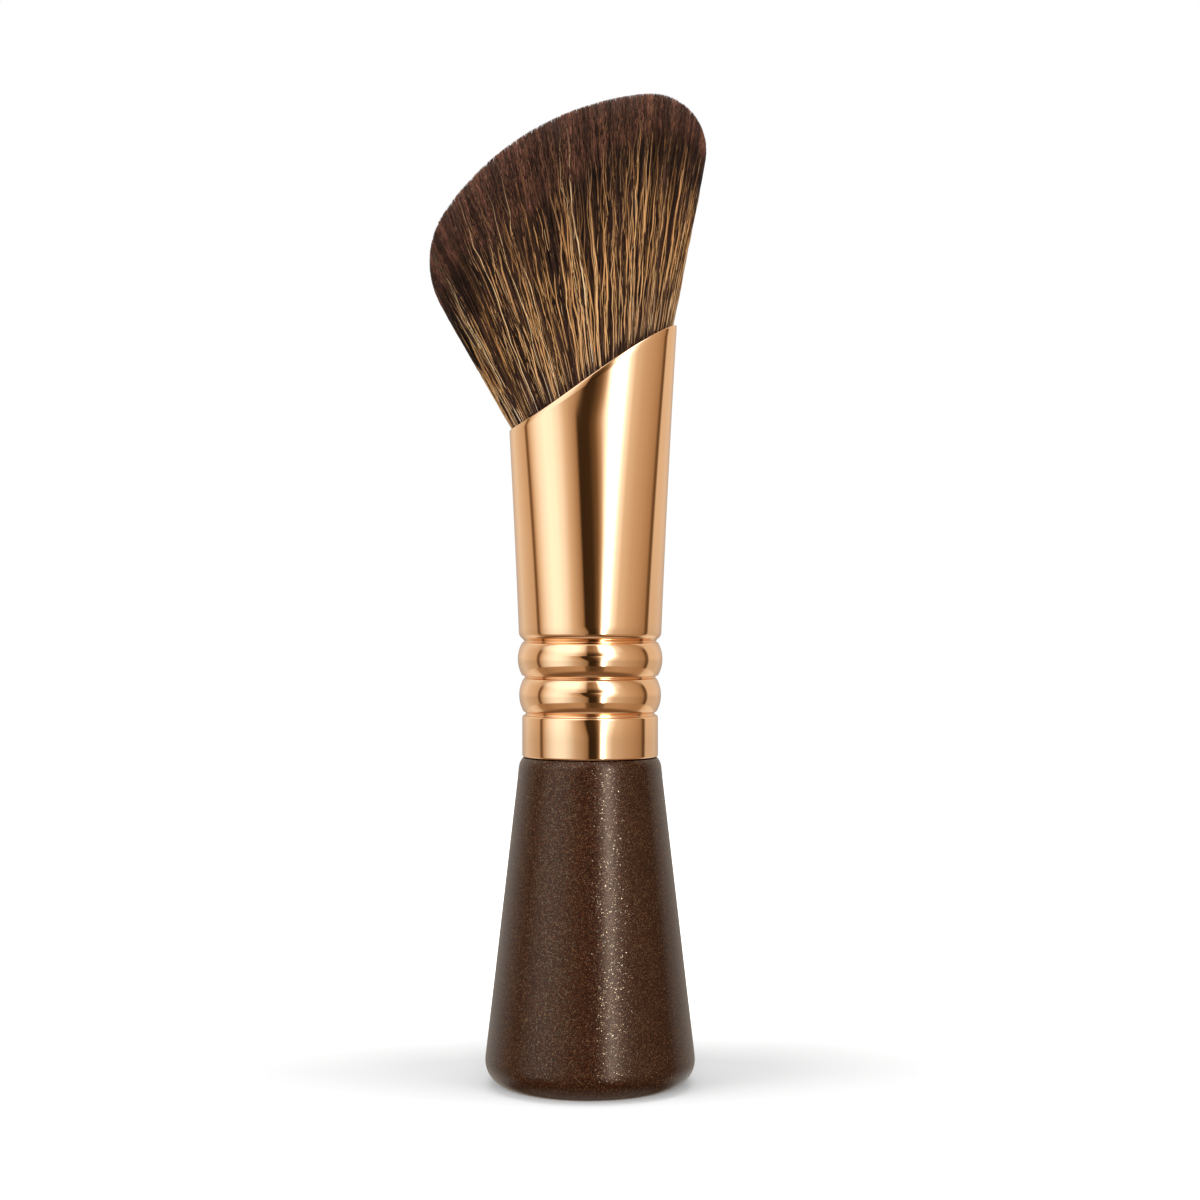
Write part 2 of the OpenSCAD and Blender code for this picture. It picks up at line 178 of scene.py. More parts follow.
def from_side(p, corner, lean, flank, nose, r):
    """Distance of points in from a flank and its nose, or a long way where the crown is nearer."""
    up = (p - corner) @ leaning(lean)
    join = nose - CROWN
    off = (join[0] * (p - nose)[..., 1] - join[1] * (p - nose)[..., 0]) * math.copysign(1, lean)
    past = np.where(off < 0, r - np.linalg.norm(p - nose, axis=-1), FAR)
    return np.where(up <= flank, from_flank(p, corner, lean), past)


def plumpness(p):
    """Share of its full depth that the tuft has at points, from 0 on its outline to 1 inside."""
    middle = np.sin(np.pi * np.clip((bearing(p) - LOW_JOIN) / (HIGH_JOIN - LOW_JOIN), 0, 1))
    crown = (CROWN_R - np.linalg.norm(p - CROWN, axis=-1)) / (
        FLANK_ROUND + (CROWN_ROUND - FLANK_ROUND) * middle)
    low = from_side(p, LOW_CORNER, -LOW_LEAN, LOW_FLANK, LOW_NOSE, LOW_NOSE_R) / FLANK_ROUND
    high = from_side(p, HIGH_CORNER, HIGH_LEAN, HIGH_FLANK, HIGH_NOSE, HIGH_NOSE_R) / FLANK_ROUND
    return rounded(np.minimum(np.minimum(low, high), crown))


def side_plumpness(p):
    """The same, with nothing rounded towards the crown."""
    low = from_flank(p, LOW_CORNER, -LOW_LEAN) / FLANK_ROUND
    high = from_flank(p, HIGH_CORNER, HIGH_LEAN) / FLANK_ROUND
    return rounded(np.minimum(low, high))


def along_hair(u, s):
    """Points at a share s of the way along the hairs that leave the mouth at u, seen from the
    front, with the half-depths there of the tuft's surface and of the tuft if it had no crown."""
    start = mouth_points(u)
    near = np.linalg.norm(start - FAN, axis=-1)
    p = FAN + (near + s * free_length(start))[..., None] * leaning(bearing(start))
    mouth_depth = half_d(start[..., 1]) - WALL - ROOT_GAP
    grown = np.sin(np.pi / 2 * np.clip(s / BELLY_AT, 0, 1))
    depth = mouth_depth + (BELLY_D / 2 - mouth_depth) * grown
    blend = eased(np.clip(s / BELLY_AT, 0, 1), 0.5)
    front = np.sqrt(np.maximum(0, 1 - u * u))
    surface = depth * ((1 - blend) * front + blend * plumpness(p))
    side = depth * ((1 - blend) * front + blend * side_plumpness(p))
    return p, surface, side


# Shader nodes. The functions after wire add to a tree and give the output of what they added.

def wire(tree, value, socket):
    """Feeds a socket from another socket, or sets it to a value."""
    if isinstance(value, bpy.types.NodeSocket):
        tree.links.new(value, socket)
    else:
        socket.default_value = value


def maths(tree, operation, *values, clamp=False):
    """Math node on sockets or numbers."""
    node = tree.nodes.new("ShaderNodeMath")
    node.operation = operation
    node.use_clamp = clamp
    for value, socket in zip(values, node.inputs):
        wire(tree, value, socket)
    return node.outputs["Value"]


def vector_maths(tree, operation, *values, scale=None):
    """Vector Math node on sockets or vectors."""
    node = tree.nodes.new("ShaderNodeVectorMath")
    node.operation = operation
    for value, socket in zip(values, node.inputs):
        wire(tree, value, socket)
    if scale is not None:
        wire(tree, scale, node.inputs["Scale"])
    return node.outputs["Value" if operation == "LENGTH" else "Vector"]


def mapped(tree, value, start, end, low=0.0, high=1.0, smooth=False):
    """Value that goes from start to end while another one goes from low to high."""
    node = tree.nodes.new("ShaderNodeMapRange")
    node.interpolation_type = "SMOOTHSTEP" if smooth else "LINEAR"
    for name, number in (("From Min", low), ("From Max", high), ("To Min", start), ("To Max", end)):
        node.inputs[name].default_value = number
    tree.links.new(value, node.inputs["Value"])
    return node.outputs["Result"]


def mixed(tree, share, a, b, how="MIX"):
    """Mix of two colours, each a socket or a colour."""
    node = tree.nodes.new("ShaderNodeMix")
    node.data_type = "RGBA"
    node.blend_type = how
    wire(tree, share, node.inputs[0])
    for colour, socket in ((a, node.inputs[6]), (b, node.inputs[7])):
        wire(tree, (*colour, 1) if isinstance(colour, tuple) else colour, socket)
    return node.outputs[2]


def ramp(tree, value, stops):
    """Colour ramp with (place, colour) stops."""
    node = tree.nodes.new("ShaderNodeValToRGB")
    elements = node.color_ramp.elements
    while len(elements) < len(stops):
        elements.new(0.5)
    for element, (place, colour) in zip(elements, stops):
        element.position = place
        element.color = (*colour, 1)
    tree.links.new(value, node.inputs[0])
    return node.outputs["Color"]


def noise(tree, place, scale, detail=2.0, rough=0.5):
    """Noise texture."""
    node = tree.nodes.new("ShaderNodeTexNoise")
    node.inputs["Scale"].default_value = scale
    node.inputs["Detail"].default_value = detail
    node.inputs["Roughness"].default_value = rough
    tree.links.new(place, node.inputs["Vector"])
    return node.outputs["Fac"]


def object_place(tree, scale=(1, 1, 1), shift=(0, 0, 0)):
    """Place on the object, stretched along each axis and then shifted."""
    place = tree.nodes.new("ShaderNodeTexCoord")
    mapping = tree.nodes.new("ShaderNodeMapping")
    mapping.inputs["Location"].default_value = shift
    mapping.inputs["Scale"].default_value = scale
    tree.links.new(place.outputs["Object"], mapping.inputs["Vector"])
    return mapping.outputs["Vector"]


# Materials

# Columns of the hairs' map. All the hairs of one column have the same tone.
COLUMNS = 256

LACQUER_GRAIN = [
    (0.0, (0.010, 0.0016, 0.0006)), (0.5, (0.022, 0.0040, 0.0014)), (0.8, (0.043, 0.0098, 0.0030)),
    (0.95, (0.100, 0.035, 0.012)), (1.0, (0.190, 0.098, 0.043)),
]
# Share of the lacquer's cells that hold no flake, the sharpness of a flake's edge, and its tilt.
PLAIN_CELLS, FLAKE_EDGE, FLAKE_TILT = 0.88, 12.0, 0.30

# Colours along a hair from its root to its tip, and the tones by which they differ between hairs.
DARK_STOPS = [
    (0.0, (0.080, 0.048, 0.033)), (0.10, (0.050, 0.0225, 0.0145)), (0.6, (0.030, 0.0130, 0.0086)),
    (0.85, (0.012, 0.0055, 0.0039)), (1.0, (0.066, 0.028, 0.018)),
]
DARK_TONES = [
    (0.0, (0.40, 0.38, 0.36)), (0.45, (0.82, 0.80, 0.78)), (0.8, (1.5, 1.45, 1.4)), (1.0, (2.9, 3.0, 3.0)),
]
TIP_STOPS = [
    (0.0, (0.008, 0.0036, 0.0025)), (0.5, (0.011, 0.0048, 0.0033)), (0.8, (0.034, 0.0135, 0.0083)),
    (1.0, (0.118, 0.047, 0.0280)),
]
TIP_TONES = [
    (0.0, (0.15, 0.15, 0.15)), (0.45, (0.65, 0.65, 0.65)), (0.75, (1.4, 1.4, 1.4)), (1.0, (2.9, 2.9, 2.9)),
]
GOLD_STOPS = [
    (0.0, (0.60, 0.36, 0.190)), (0.08, (0.88, 0.50, 0.220)), (0.30, (0.96, 0.51, 0.200)),
    (0.52, (0.90, 0.46, 0.170)), (0.70, (0.40, 0.18, 0.066)), (0.88, (0.070, 0.030, 0.018)),
    (1.0, (0.045, 0.019, 0.012)),
]
GOLD_TONES = [
    (0.0, (0.15, 0.14, 0.13)), (0.3, (0.45, 0.43, 0.41)), (0.5, (0.90, 0.88, 0.86)),
    (0.8, (1.08, 1.13, 1.20)), (1.0, (1.12, 1.50, 2.10)),
]


def material(name):
    """New material, with its node tree and its Principled shader."""
    m = bpy.data.materials.new(name)
    m.use_nodes = True
    return m, m.node_tree, m.node_tree.nodes["Principled BSDF"]


def gold_plate():
    """Polished rose-gold plating, with the faintest unevenness of buffed metal."""
    m, tree, shader = material("gold_plate")
    cloud = noise(tree, object_place(tree), 160, 3)
    wire(tree, mixed(tree, cloud, (0.88, 0.515, 0.27), (0.92, 0.55, 0.295)), shader.inputs["Base Color"])
    shader.inputs["Metallic"].default_value = 1.0
    buffed = noise(tree, object_place(tree, (1, 1, 0.12)), 2600)
    wire(tree, mapped(tree, buffed, 0.045, 0.075), shader.inputs["Roughness"])
    return m


def flake_normal(tree, cell, flake):
    """Normal that each flake tilts at random, by the place of its cell."""
    chance = tree.nodes.new("ShaderNodeTexWhiteNoise")
    chance.noise_dimensions = "3D"
    wire(tree, cell, chance.inputs["Vector"])
    tilt = vector_maths(tree, "SUBTRACT", chance.outputs["Color"], (0.5, 0.5, 0.5))
    tilt = vector_maths(tree, "SCALE", tilt, scale=maths(tree, "MULTIPLY", flake, FLAKE_TILT))
    surface = tree.nodes.new("ShaderNodeNewGeometry")
    return vector_maths(tree, "NORMALIZE", vector_maths(tree, "ADD", surface.outputs["Normal"], tilt))


def pearl_lacquer():
    """Dark brown satin lacquer, with fine gold flakes in it."""
    m, tree, shader = material("pearl_lacquer")
    place = object_place(tree)
    cells = tree.nodes.new("ShaderNodeTexVoronoi")
    cells.inputs["Scale"].default_value = 12500
    wire(tree, place, cells.inputs["Vector"])
    own = tree.nodes.new("ShaderNodeSeparateColor")
    wire(tree, cells.outputs["Color"], own.inputs["Color"])
    rare = maths(tree, "SUBTRACT", own.outputs[0], PLAIN_CELLS)
    flake = maths(tree, "MULTIPLY", rare, FLAKE_EDGE, clamp=True)
    cloud = mixed(tree, noise(tree, place, 300), (0.8, 0.8, 0.8), (1.2, 1.2, 1.2))
    base = mixed(tree, 1.0, ramp(tree, own.outputs[1], LACQUER_GRAIN), cloud, "MULTIPLY")
    wire(tree, mixed(tree, flake, base, (0.18, 0.126, 0.073)), shader.inputs["Base Color"])
    wire(tree, flake, shader.inputs["Metallic"])
    polish = maths(tree, "MULTIPLY", flake, 0.10)
    wire(tree, maths(tree, "SUBTRACT", 0.27, polish), shader.inputs["Roughness"])
    shader.inputs["Specular IOR Level"].default_value = 0.36
    shader.inputs["Specular Tint"].default_value = (1.0, 0.70, 0.48, 1)
    wire(tree, flake_normal(tree, cells.outputs["Position"], flake), shader.inputs["Normal"])
    return m


def hair_colour(name, stops, tones, painted_light_strength):
    """Hair whose tone differs from one hair to the next and changes from its root to its tip. The
    map strand holds each hair's own column across it and the way along it. The fade is how far
    the colours move along the hairs from one column to the next."""
    m, tree, shader = material(name)
    uv = tree.nodes.new("ShaderNodeUVMap")
    uv.uv_map = "strand"
    split = tree.nodes.new("ShaderNodeSeparateXYZ")
    wire(tree, uv.outputs[0], split.inputs[0])
    across, along = split.outputs[0], split.outputs[1]
    own = tree.nodes.new("ShaderNodeTexWhiteNoise")
    own.noise_dimensions = "1D"
    wire(tree, maths(tree, "FLOOR", maths(tree, "MULTIPLY", across, COLUMNS)), own.inputs["W"])
    chance = tree.nodes.new("ShaderNodeSeparateColor")
    wire(tree, own.outputs["Color"], chance.inputs["Color"])
    shift = maths(tree, "MULTIPLY", maths(tree, "SUBTRACT", chance.outputs[1], 0.5), painted_light_strength)
    colour = ramp(tree, maths(tree, "ADD", along, shift, clamp=True), stops)
    tone = ramp(tree, across, tones)
    wire(tree, mixed(tree, 1.0, colour, tone, "MULTIPLY"), shader.inputs["Base Color"])
    shader.inputs["Roughness"].default_value = 0.45
    shader.inputs["Specular IOR Level"].default_value = 0.18
    shader.inputs["Specular Tint"].default_value = (1.0, 0.72, 0.5, 1)
    return m


def core_hair():
    """Dark hair in the mass, with fine upright streaks."""
    m, tree, shader = material("core_hair")
    streaks = noise(tree, object_place(tree, (1, 1, 0.08)), 3200, 3, 0.6)
    colour = ramp(tree, streaks, [(0.3, (0.018, 0.008, 0.005)), (0.7, (0.06, 0.028, 0.018))])
    wire(tree, colour, shader.inputs["Base Color"])
    shader.inputs["Roughness"].default_value = 0.7
    shader.inputs["Specular IOR Level"].default_value = 0.15
    return m


def set_glue():
    """Amber glue that has set around the roots, a little cloudy."""
    m, tree, shader = material("set_glue")
    cloud = noise(tree, object_place(tree), 420, 3)
    wire(tree, mixed(tree, cloud, (0.40, 0.26, 0.09), (0.55, 0.40, 0.18)), shader.inputs["Base Color"])
    shader.inputs["Roughness"].default_value = 0.35
    return m


# Pieces

def finish_piece(obj, name, mat, slot, *nodes):
    """Names a finished piece, gives it its material and hangs it on the brush."""
    obj.name = name
    obj.data.name = name
    obj.data.materials.clear()
    obj.data.materials.append(mat)
    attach(obj, "root")
    if nodes:
        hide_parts(*nodes)


def repaint(node, mat):
    """Gives a carried-over part of the frame its finish."""
    obj = frame["nodes"][node]
    obj.data.materials.clear()
    obj.data.materials.append(mat)


def linked(name, mesh):
    """New object in the scene, with a mesh."""
    obj = bpy.data.objects.new(name, mesh)
    bpy.context.scene.collection.objects.link(obj)
    return obj


def choose(obj):
    """Selects an object alone and makes it active."""
    bpy.ops.object.select_all(action="DESELECT")
    obj.select_set(True)
    bpy.context.view_layer.objects.active = obj


def read_points(mesh):
    """Places of a mesh's points, one in each row."""
    co = np.zeros(len(mesh.vertices) * 3)
    mesh.vertices.foreach_get("co", co)
    return co.reshape(-1, 3)


def place_points(mesh, co):
    """Moves a mesh's points to places that are given in millimetres."""
    mesh.vertices.foreach_set("co", (co * MM).ravel())
    mesh.update()


# Ferrule

# Radius of the grooves' bottoms and height of the curled-in lower edge, in millimetres.
GROOVE_R, CURL_H = 0.10, 1.2
# Stretches along each part of the section, and around the whole ferrule.
EDGE_STEPS, GROOVE_STEPS, BEAD_STEPS = 6, 4, 14
NECK_STEPS, BODY_STEPS, BORE_STEPS = 6, 40, 16
SPIN_STEPS = 192


def arc(cx, cz, r, start, end, steps):
    """Points along an arc in the section, from one angle to another in degrees."""
    turns = [math.radians(start + (end - start) * k / steps) for k in range(steps + 1)]
    return [(cx + r * math.cos(turn), cz + r * math.sin(turn)) for turn in turns]


def bead_line(d, z):
    """Line up the section of one bead."""
    turn = math.degrees(math.asin(BEAD_H / 2 / BEAD_R))
    return arc(d / 2 - BEAD_R, z + BEAD_H / 2, BEAD_R, -turn, turn, BEAD_STEPS)


def groove_line(d, z):
    """Line up the rounded bottom of one groove."""
    return arc(d / 2 + GROOVE_R, z, GROOVE_R, 250, 110, GROOVE_STEPS)


def ring_section():
    """Section of the collar, the grooves, the beads and the neck's edge, up the outside."""
    r = COLLAR_D / 2 - WALL
    line = [(r, FERRULE_Z + CURL_H)]
    line += arc(r, FERRULE_Z + WALL, WALL, -90, 0, EDGE_STEPS)
    line += arc(r, COLLAR_TOP_Z - WALL, WALL, 0, 90, EDGE_STEPS)
    line += groove_line(LOW_GROOVE_D, COLLAR_TOP_Z + GROOVE_H / 2)
    line += bead_line(LOW_BEAD_D, LOW_BEAD_Z)
    line += groove_line(MID_GROOVE_D, TOP_BEAD_Z - GROOVE_H / 2)
    line += bead_line(TOP_BEAD_D, TOP_BEAD_Z)
    line += groove_line(TOP_GROOVE_D, RING_TOP_Z)
    for k in range(NECK_STEPS):
        turn = math.radians(NECK_TURN * (1 - k / NECK_STEPS))
        line.append((NECK_D / 2 - NECK_R * (1 - math.cos(turn)), NECK_Z - NECK_R * math.sin(turn)))
    return line


def tube_section():
    """Closed section of the whole tube, with its body straight and round. Behind the beads the bore
    is plain."""
    lip = WALL / 2
    body = [(NECK_D / 2, NECK_Z + BODY_H * k / BODY_STEPS) for k in range(BODY_STEPS + 1)]
    edge = [(NECK_D / 2 - lip * (1 - math.cos(a)), NECK_Z + BODY_H + lip * math.sin(a))
            for a in np.radians([30, 60, 90, 120, 150])]
    bore = [(NECK_D / 2 - WALL, NECK_Z + BODY_H * (1 - k / BORE_STEPS)) for k in range(BORE_STEPS + 1)]
    inner = [(TOP_GROOVE_D / 2 - WALL, RING_TOP_Z), (LOW_GROOVE_D / 2 - WALL, FERRULE_Z + CURL_H)]
    return ring_section() + body + edge + bore + inner


def pressed(co):
    """Places of the tube's points after its straight body is pressed to the slanted oval."""
    r = np.hypot(co[:, 0], co[:, 1])
    c, s = co[:, 0] / r, co[:, 1] / r
    share = np.clip((co[:, 2] - NECK_Z) / BODY_H, 0, 1)
    over = np.maximum(0, co[:, 2] - NECK_Z - BODY_H)
    inset = NECK_D / 2 - r
    z = NECK_Z + share * (mouth_at(c) - NECK_Z)
    oval = np.stack([(half_w(z) - inset) * c, (half_d(z) - inset) * s, z + over], axis=1)
    return np.where(co[:, 2:] > NECK_Z + 1e-4, oval, co)


def ferrule_shell():
    """The whole ferrule as one drawn tube. Its section is spun round the axis as a straight round
    tube, and its body is then pressed to the slanted oval."""
    section = tube_section()
    n = len(section)
    mesh = bpy.data.meshes.new("ferrule_shell")
    mesh.from_pydata([(x, 0, z) for x, z in section], [(k, (k + 1) % n) for k in range(n)], [])
    shell = linked("ferrule_shell", mesh)
    choose(shell)
    bpy.ops.object.mode_set(mode="EDIT")
    bpy.ops.mesh.select_all(action="SELECT")
    bpy.ops.mesh.spin(steps=SPIN_STEPS, angle=2 * math.pi, center=(0, 0, 0), axis=(0, 0, 1))
    bpy.ops.mesh.select_all(action="SELECT")
    bpy.ops.mesh.remove_doubles(threshold=0.002)
    bpy.ops.mesh.normals_make_consistent(inside=False)
    bpy.ops.object.mode_set(mode="OBJECT")
    place_points(mesh, pressed(read_points(mesh)))
    bpy.ops.object.shade_smooth_by_angle(angle=math.radians(38))
    finish_piece(shell, "ferrule_shell", gold_plate(), "ferrule_metal", "ferrule")


# Hair

# Each kind has its number of hairs or strands, the points along a hair and its radius in millimetres.
DARK_HAIRS, DARK_POINTS, DARK_R = 3200, 10, 0.056
GOLD_LOCKS, GOLD_SINGLES, GOLD_POINTS, GOLD_R = 150, 720, 18, 0.037
TIP_HAIRS, TIP_POINTS, TIP_R = 9800, 4, 0.066
# Least and greatest length of a tip hair, and how far short of the outline it ends on average.
TIP_SHORTEST, TIP_LONGEST, TIP_SHORT = 5, 9, 0.16

# Share of its free length by which a hair starts below the mouth.
BELOW_MOUTH = 0.05
# Distance around the tuft, in millimetres, that stands for one radian of a hair's angle.
AROUND = 11.0
# Distance across the tuft, in millimetres, from its middle to its flank.
ACROSS = 12.0
# Half-depth of the flanks, in millimetres, from which hairs that lift off them move out.
FLANK_DEPTH = 6
# How near to the very edge of the flanks hairs leave the mouth, and how near they then run.
MOUTH_LIMIT, HAIR_LIMIT = 0.9995, 0.9998
# Least distance of a hair from the plane through both flanks, in millimetres.
OFF_PLANE = 0.01
# Depth of the furrows between the locks, in millimetres.
FURROW = 0.16
# Wisps of one tone at the tips, and how many degrees of the fan each takes.
WISPS, WISP_LEAN = 200, 0.24
# Places along a hair at which its end is looked for.
PROBES = 141
# Shares of the free length between which the core runs, and its least depth under the crown.
CORE_START, CORE_END, CORE_DROP = -0.07, 0.965, 1.3
# Depth of the core under the tuft's surface at its foot and at its top, in millimetres.
CORE_FOOT_SKIN, CORE_TOP_SKIN = 0.24, 0.8
# Width of the core as a share of the tuft's.
CORE_WIDTH = 0.985


def hair_rings(centres, outwards, radii, phase):
    """Three points around each point of each hair: centres and outwards are (hairs, points, 3)."""
    along = np.gradient(centres, axis=1)
    along /= np.linalg.norm(along, axis=2, keepdims=True)
    across = np.cross(along, outwards)
    across /= np.linalg.norm(across, axis=2, keepdims=True) + 1e-12
    out = np.cross(across, along)
    rings = []
    for k in range(3):
        a = phase[:, None, None] + 2 * np.pi * k / 3
        rings.append(centres + radii[..., None] * (np.cos(a) * out + np.sin(a) * across))
    return np.stack(rings, axis=2)


def hair_mesh(name, centres, outwards, radii, rng, column=None, late=1.0):
    """Closed three-sided hairs, with a map that holds each hair's column across it and the way along
    it. The colours come later along a hair where late is over 1, and sooner where it is under 1."""
    hairs, points = centres.shape[:2]
    rings = hair_rings(centres, outwards, radii, rng.uniform(0, 2 * np.pi, hairs))
    root = np.arange(hairs) * points * 3
    level = np.arange(points - 1) * 3
    quad = np.array([[k, (k + 1) % 3, (k + 1) % 3 + 3, k + 3] for k in range(3)])
    quads = root[:, None, None, None] + level[:, None, None] + quad
    start = root[:, None] + np.array([2, 1, 0])
    tip = root[:, None] + (points - 1) * 3 + np.array([0, 1, 2])
    corners = np.concatenate([quads.ravel(), start.ravel(), tip.ravel()]).astype(np.int32)
    sizes = np.concatenate([np.full(quads.size // 4, 4), np.full(2 * hairs, 3)])
    mesh = bpy.data.meshes.new(name)
    mesh.vertices.add(hairs * points * 3)
    mesh.vertices.foreach_set("co", (rings * MM).ravel())
    mesh.loops.add(len(corners))
    mesh.loops.foreach_set("vertex_index", corners)
    mesh.polygons.add(len(sizes))
    mesh.polygons.foreach_set("loop_start", (np.cumsum(sizes) - sizes).astype(np.int32))
    mesh.update(calc_edges=True)
    if column is None:
        column = rng.integers(0, COLUMNS, hairs)
    across = (column[:, None] + np.array([0.3, 0.5, 0.7])) / COLUMNS
    way = np.linspace(0.002, 0.998, points) ** np.broadcast_to(late, hairs)[:, None]
    grid = np.stack(np.broadcast_arrays(across[:, None, :], way[:, :, None]), axis=-1)
    uv = grid.reshape(-1, 2)[corners].astype(np.float32)
    for map_name in ("OFBake", "strand"):
        mesh.uv_layers.new(name=map_name).data.foreach_set("uv", uv.ravel())
    mesh.polygons.foreach_set("use_smooth", np.ones(len(sizes), bool))
    mesh.validate()
    return linked(name, mesh)


def wander(rng, strand, t, length, waves):
    """Sideways wander of hairs in millimetres, shared by the hairs of a strand: waves are
    (millimetres per wave, reach)."""
    strands = strand.max() + 1
    way = t[None] * length[:, None]
    total = np.zeros_like(way)
    for period, reach in waves:
        periods = (period * rng.uniform(0.75, 1.35, strands))[strand, None]
        phase = rng.uniform(0, 2 * np.pi, strands)[strand, None]
        amp = (reach * rng.uniform(0.3, 1.0, strands))[strand, None]
        total += amp * np.sin(2 * np.pi * way / periods + phase)
    return total


def lock_pull(turn):
    """Uneven locks around the mouth: the shift of angle that draws a hair to the middle of its lock,
    and its place from 0 in a furrow to 1 on a ridge."""
    w = 13 * turn + 1.9 * np.sin(3 * turn + 0.7) + 1.3 * np.sin(7 * turn + 2.1)
    return -0.035 * np.sin(w), 0.5 + 0.5 * np.cos(w)


def side_hairs(name, turn, layer, ends, rng, points, waves, radius, drift, lift, strand=None, tone=None):
    """Hairs that run up the surface of the tuft from the mouth: each at an angle around it, in a
    layer from 0 in its middle to 1 at its surface, and up to a share of the way to the outline.
    They drift apart by a share of a radian and lift off the surface by a share of its depth.
    Hairs of the same strand run together, and a tone from 0 to 1 picks the colour of each."""
    hairs = len(turn)
    column, late = None, 1.0
    if strand is None:
        strand = np.arange(hairs)
    else:
        column = np.floor(np.clip(tone, 0, 0.999) * COLUMNS)
        late = np.interp(-np.cos(turn), [-1, -0.3, 0.1, 0.5, 1], [0.88, 0.76, 0.72, 1.02, 1.25])
    pull, ridge = lock_pull(turn)
    shift = pull + rng.normal(0, drift, strand.max() + 1)[strand]
    facing = -np.sign(np.sin(turn))[:, None]
    free = free_length(mouth_points(np.clip(-np.cos(turn + shift), -MOUTH_LIMIT, MOUTH_LIMIT)))
    t = np.linspace(0, 1, points)
    s = -BELOW_MOUTH + (ends[:, None] + BELOW_MOUTH) * t[None]
    up = np.clip(s / 0.5, 0, 1)
    grow = np.clip(s / 0.12, 0, 1)
    angle = turn[:, None] + shift[:, None] * up * up * (3 - 2 * up)
    angle = angle + wander(rng, strand, t, free * ends, waves) * grow / AROUND
    u = np.clip(-np.cos(angle), -HAIR_LIMIT, HAIR_LIMIT)
    p, surface, _ = along_hair(u, np.minimum(s, 1))
    stray = wander(rng, strand, t, free * ends, [(9, 0.012), (4, 0.006)])
    out = layer[:, None] * (1 + lift + grow * stray)
    y = facing * np.maximum(out * surface - FURROW * (1 - ridge)[:, None] * grow, OFF_PLANE)
    centres = np.stack([p[..., 0] + FLANK_DEPTH * (out - 1) * u, y, p[..., 1]], axis=2)
    outwards = np.stack([0.3 * u, facing + 0 * u, 0 * u], axis=2)
    outwards /= np.linalg.norm(outwards, axis=2, keepdims=True)
    radii = radius * rng.uniform(0.75, 1.2, (hairs, 1)) * np.interp(t, [0, 0.75, 1], [1, 0.85, 0.3])
    return hair_mesh(name, centres, outwards, radii, rng, column, late)


def crown_hairs(name, side_sign, hairs, rng):
    """Short ends of the hairs whose tips make the rounded top of the tuft, on one half of it."""
    lean = rng.uniform(-LOW_LEAN, HIGH_LEAN, hairs)
    grid = np.linspace(-1, 1, 801)
    u = np.interp(lean, bearing(mouth_points(grid)), grid)
    layer = np.sin(np.pi / 2 * rng.uniform(0, 1, hairs) ** 1.25) * rng.uniform(0.90, 0.95, hairs)
    probe = np.linspace(0.3, 1, PROBES)
    _, surface, side = along_hair(u[:, None], probe[None])
    inside = layer[:, None] * side <= surface + 1e-9
    ends = np.where(inside.all(axis=1), 1.0, probe[np.argmin(inside, axis=1)])
    free = free_length(mouth_points(u))
    ends = ends - rng.exponential(TIP_SHORT, hairs).clip(0, 1.0) / free
    t = np.linspace(0, 1, TIP_POINTS)
    long = rng.uniform(TIP_SHORTEST, TIP_LONGEST, hairs) / free
    s = ends[:, None] - long[:, None] * (1 - t[None])
    sway = wander(rng, np.arange(hairs), t, long * free, [(7, 0.10), (3, 0.04)]) * (0.4 + 0.6 * t[None])
    u = np.clip(u[:, None] + sway / ACROSS, -MOUTH_LIMIT, MOUTH_LIMIT)
    p, surface, side = along_hair(u, np.clip(s, 0, 1))
    y = np.minimum(layer[:, None] * side, np.maximum(surface, 0.0))
    y = side_sign * np.maximum(y + rng.normal(0, 0.05, (hairs, 1)) * t[None], OFF_PLANE)
    centres = np.stack([p[..., 0], y, p[..., 1]], axis=2)
    outwards = np.zeros_like(centres)
    outwards[..., 1] = side_sign
    outwards[..., 2] = 0.3
    radii = TIP_R * rng.uniform(0.75, 1.25, (hairs, 1)) * np.interp(t, [0, 0.6, 1], [1, 0.95, 0.4])
    wisp = np.floor((lean + LOW_LEAN) / WISP_LEAN + rng.normal(0, 0.3, hairs))
    wisp = wisp.clip(0, WISPS - 1).astype(int)
    tone = rng.uniform(0, 1, WISPS)[wisp] * 0.7 + rng.uniform(0, 0.3, hairs)
    return hair_mesh(name, centres, outwards, radii, rng, np.floor(tone * COLUMNS))


def tuft_core():
    """Dark mass of hair under the outer hairs: a wedge from inside the mouth to just under the
    crown, which leaves more of its depth to the outer hairs the higher it goes."""
    bpy.ops.mesh.primitive_cylinder_add(vertices=120, radius=1, depth=1, end_fill_type="NGON")
    core = bpy.context.object
    co = read_points(core.data)
    turn = np.arctan2(co[:, 1], co[:, 0])
    top = co[:, 2] > 0
    u = np.cos(turn) * CORE_WIDTH
    end = np.minimum(CORE_END, 1 - CORE_DROP / free_length(mouth_points(u)))
    p, surface, _ = along_hair(u, np.where(top, end, CORE_START))
    skin = np.where(top, CORE_TOP_SKIN, CORE_FOOT_SKIN)
    y = np.sign(np.sin(turn)) * np.maximum(0, surface - skin)
    place_points(core.data, np.stack([p[:, 0], y, p[:, 1]], axis=1))
    bpy.ops.object.shade_smooth()
    finish_piece(core, "tuft_core", core_hair(), "dark_hair", "dark_hair")


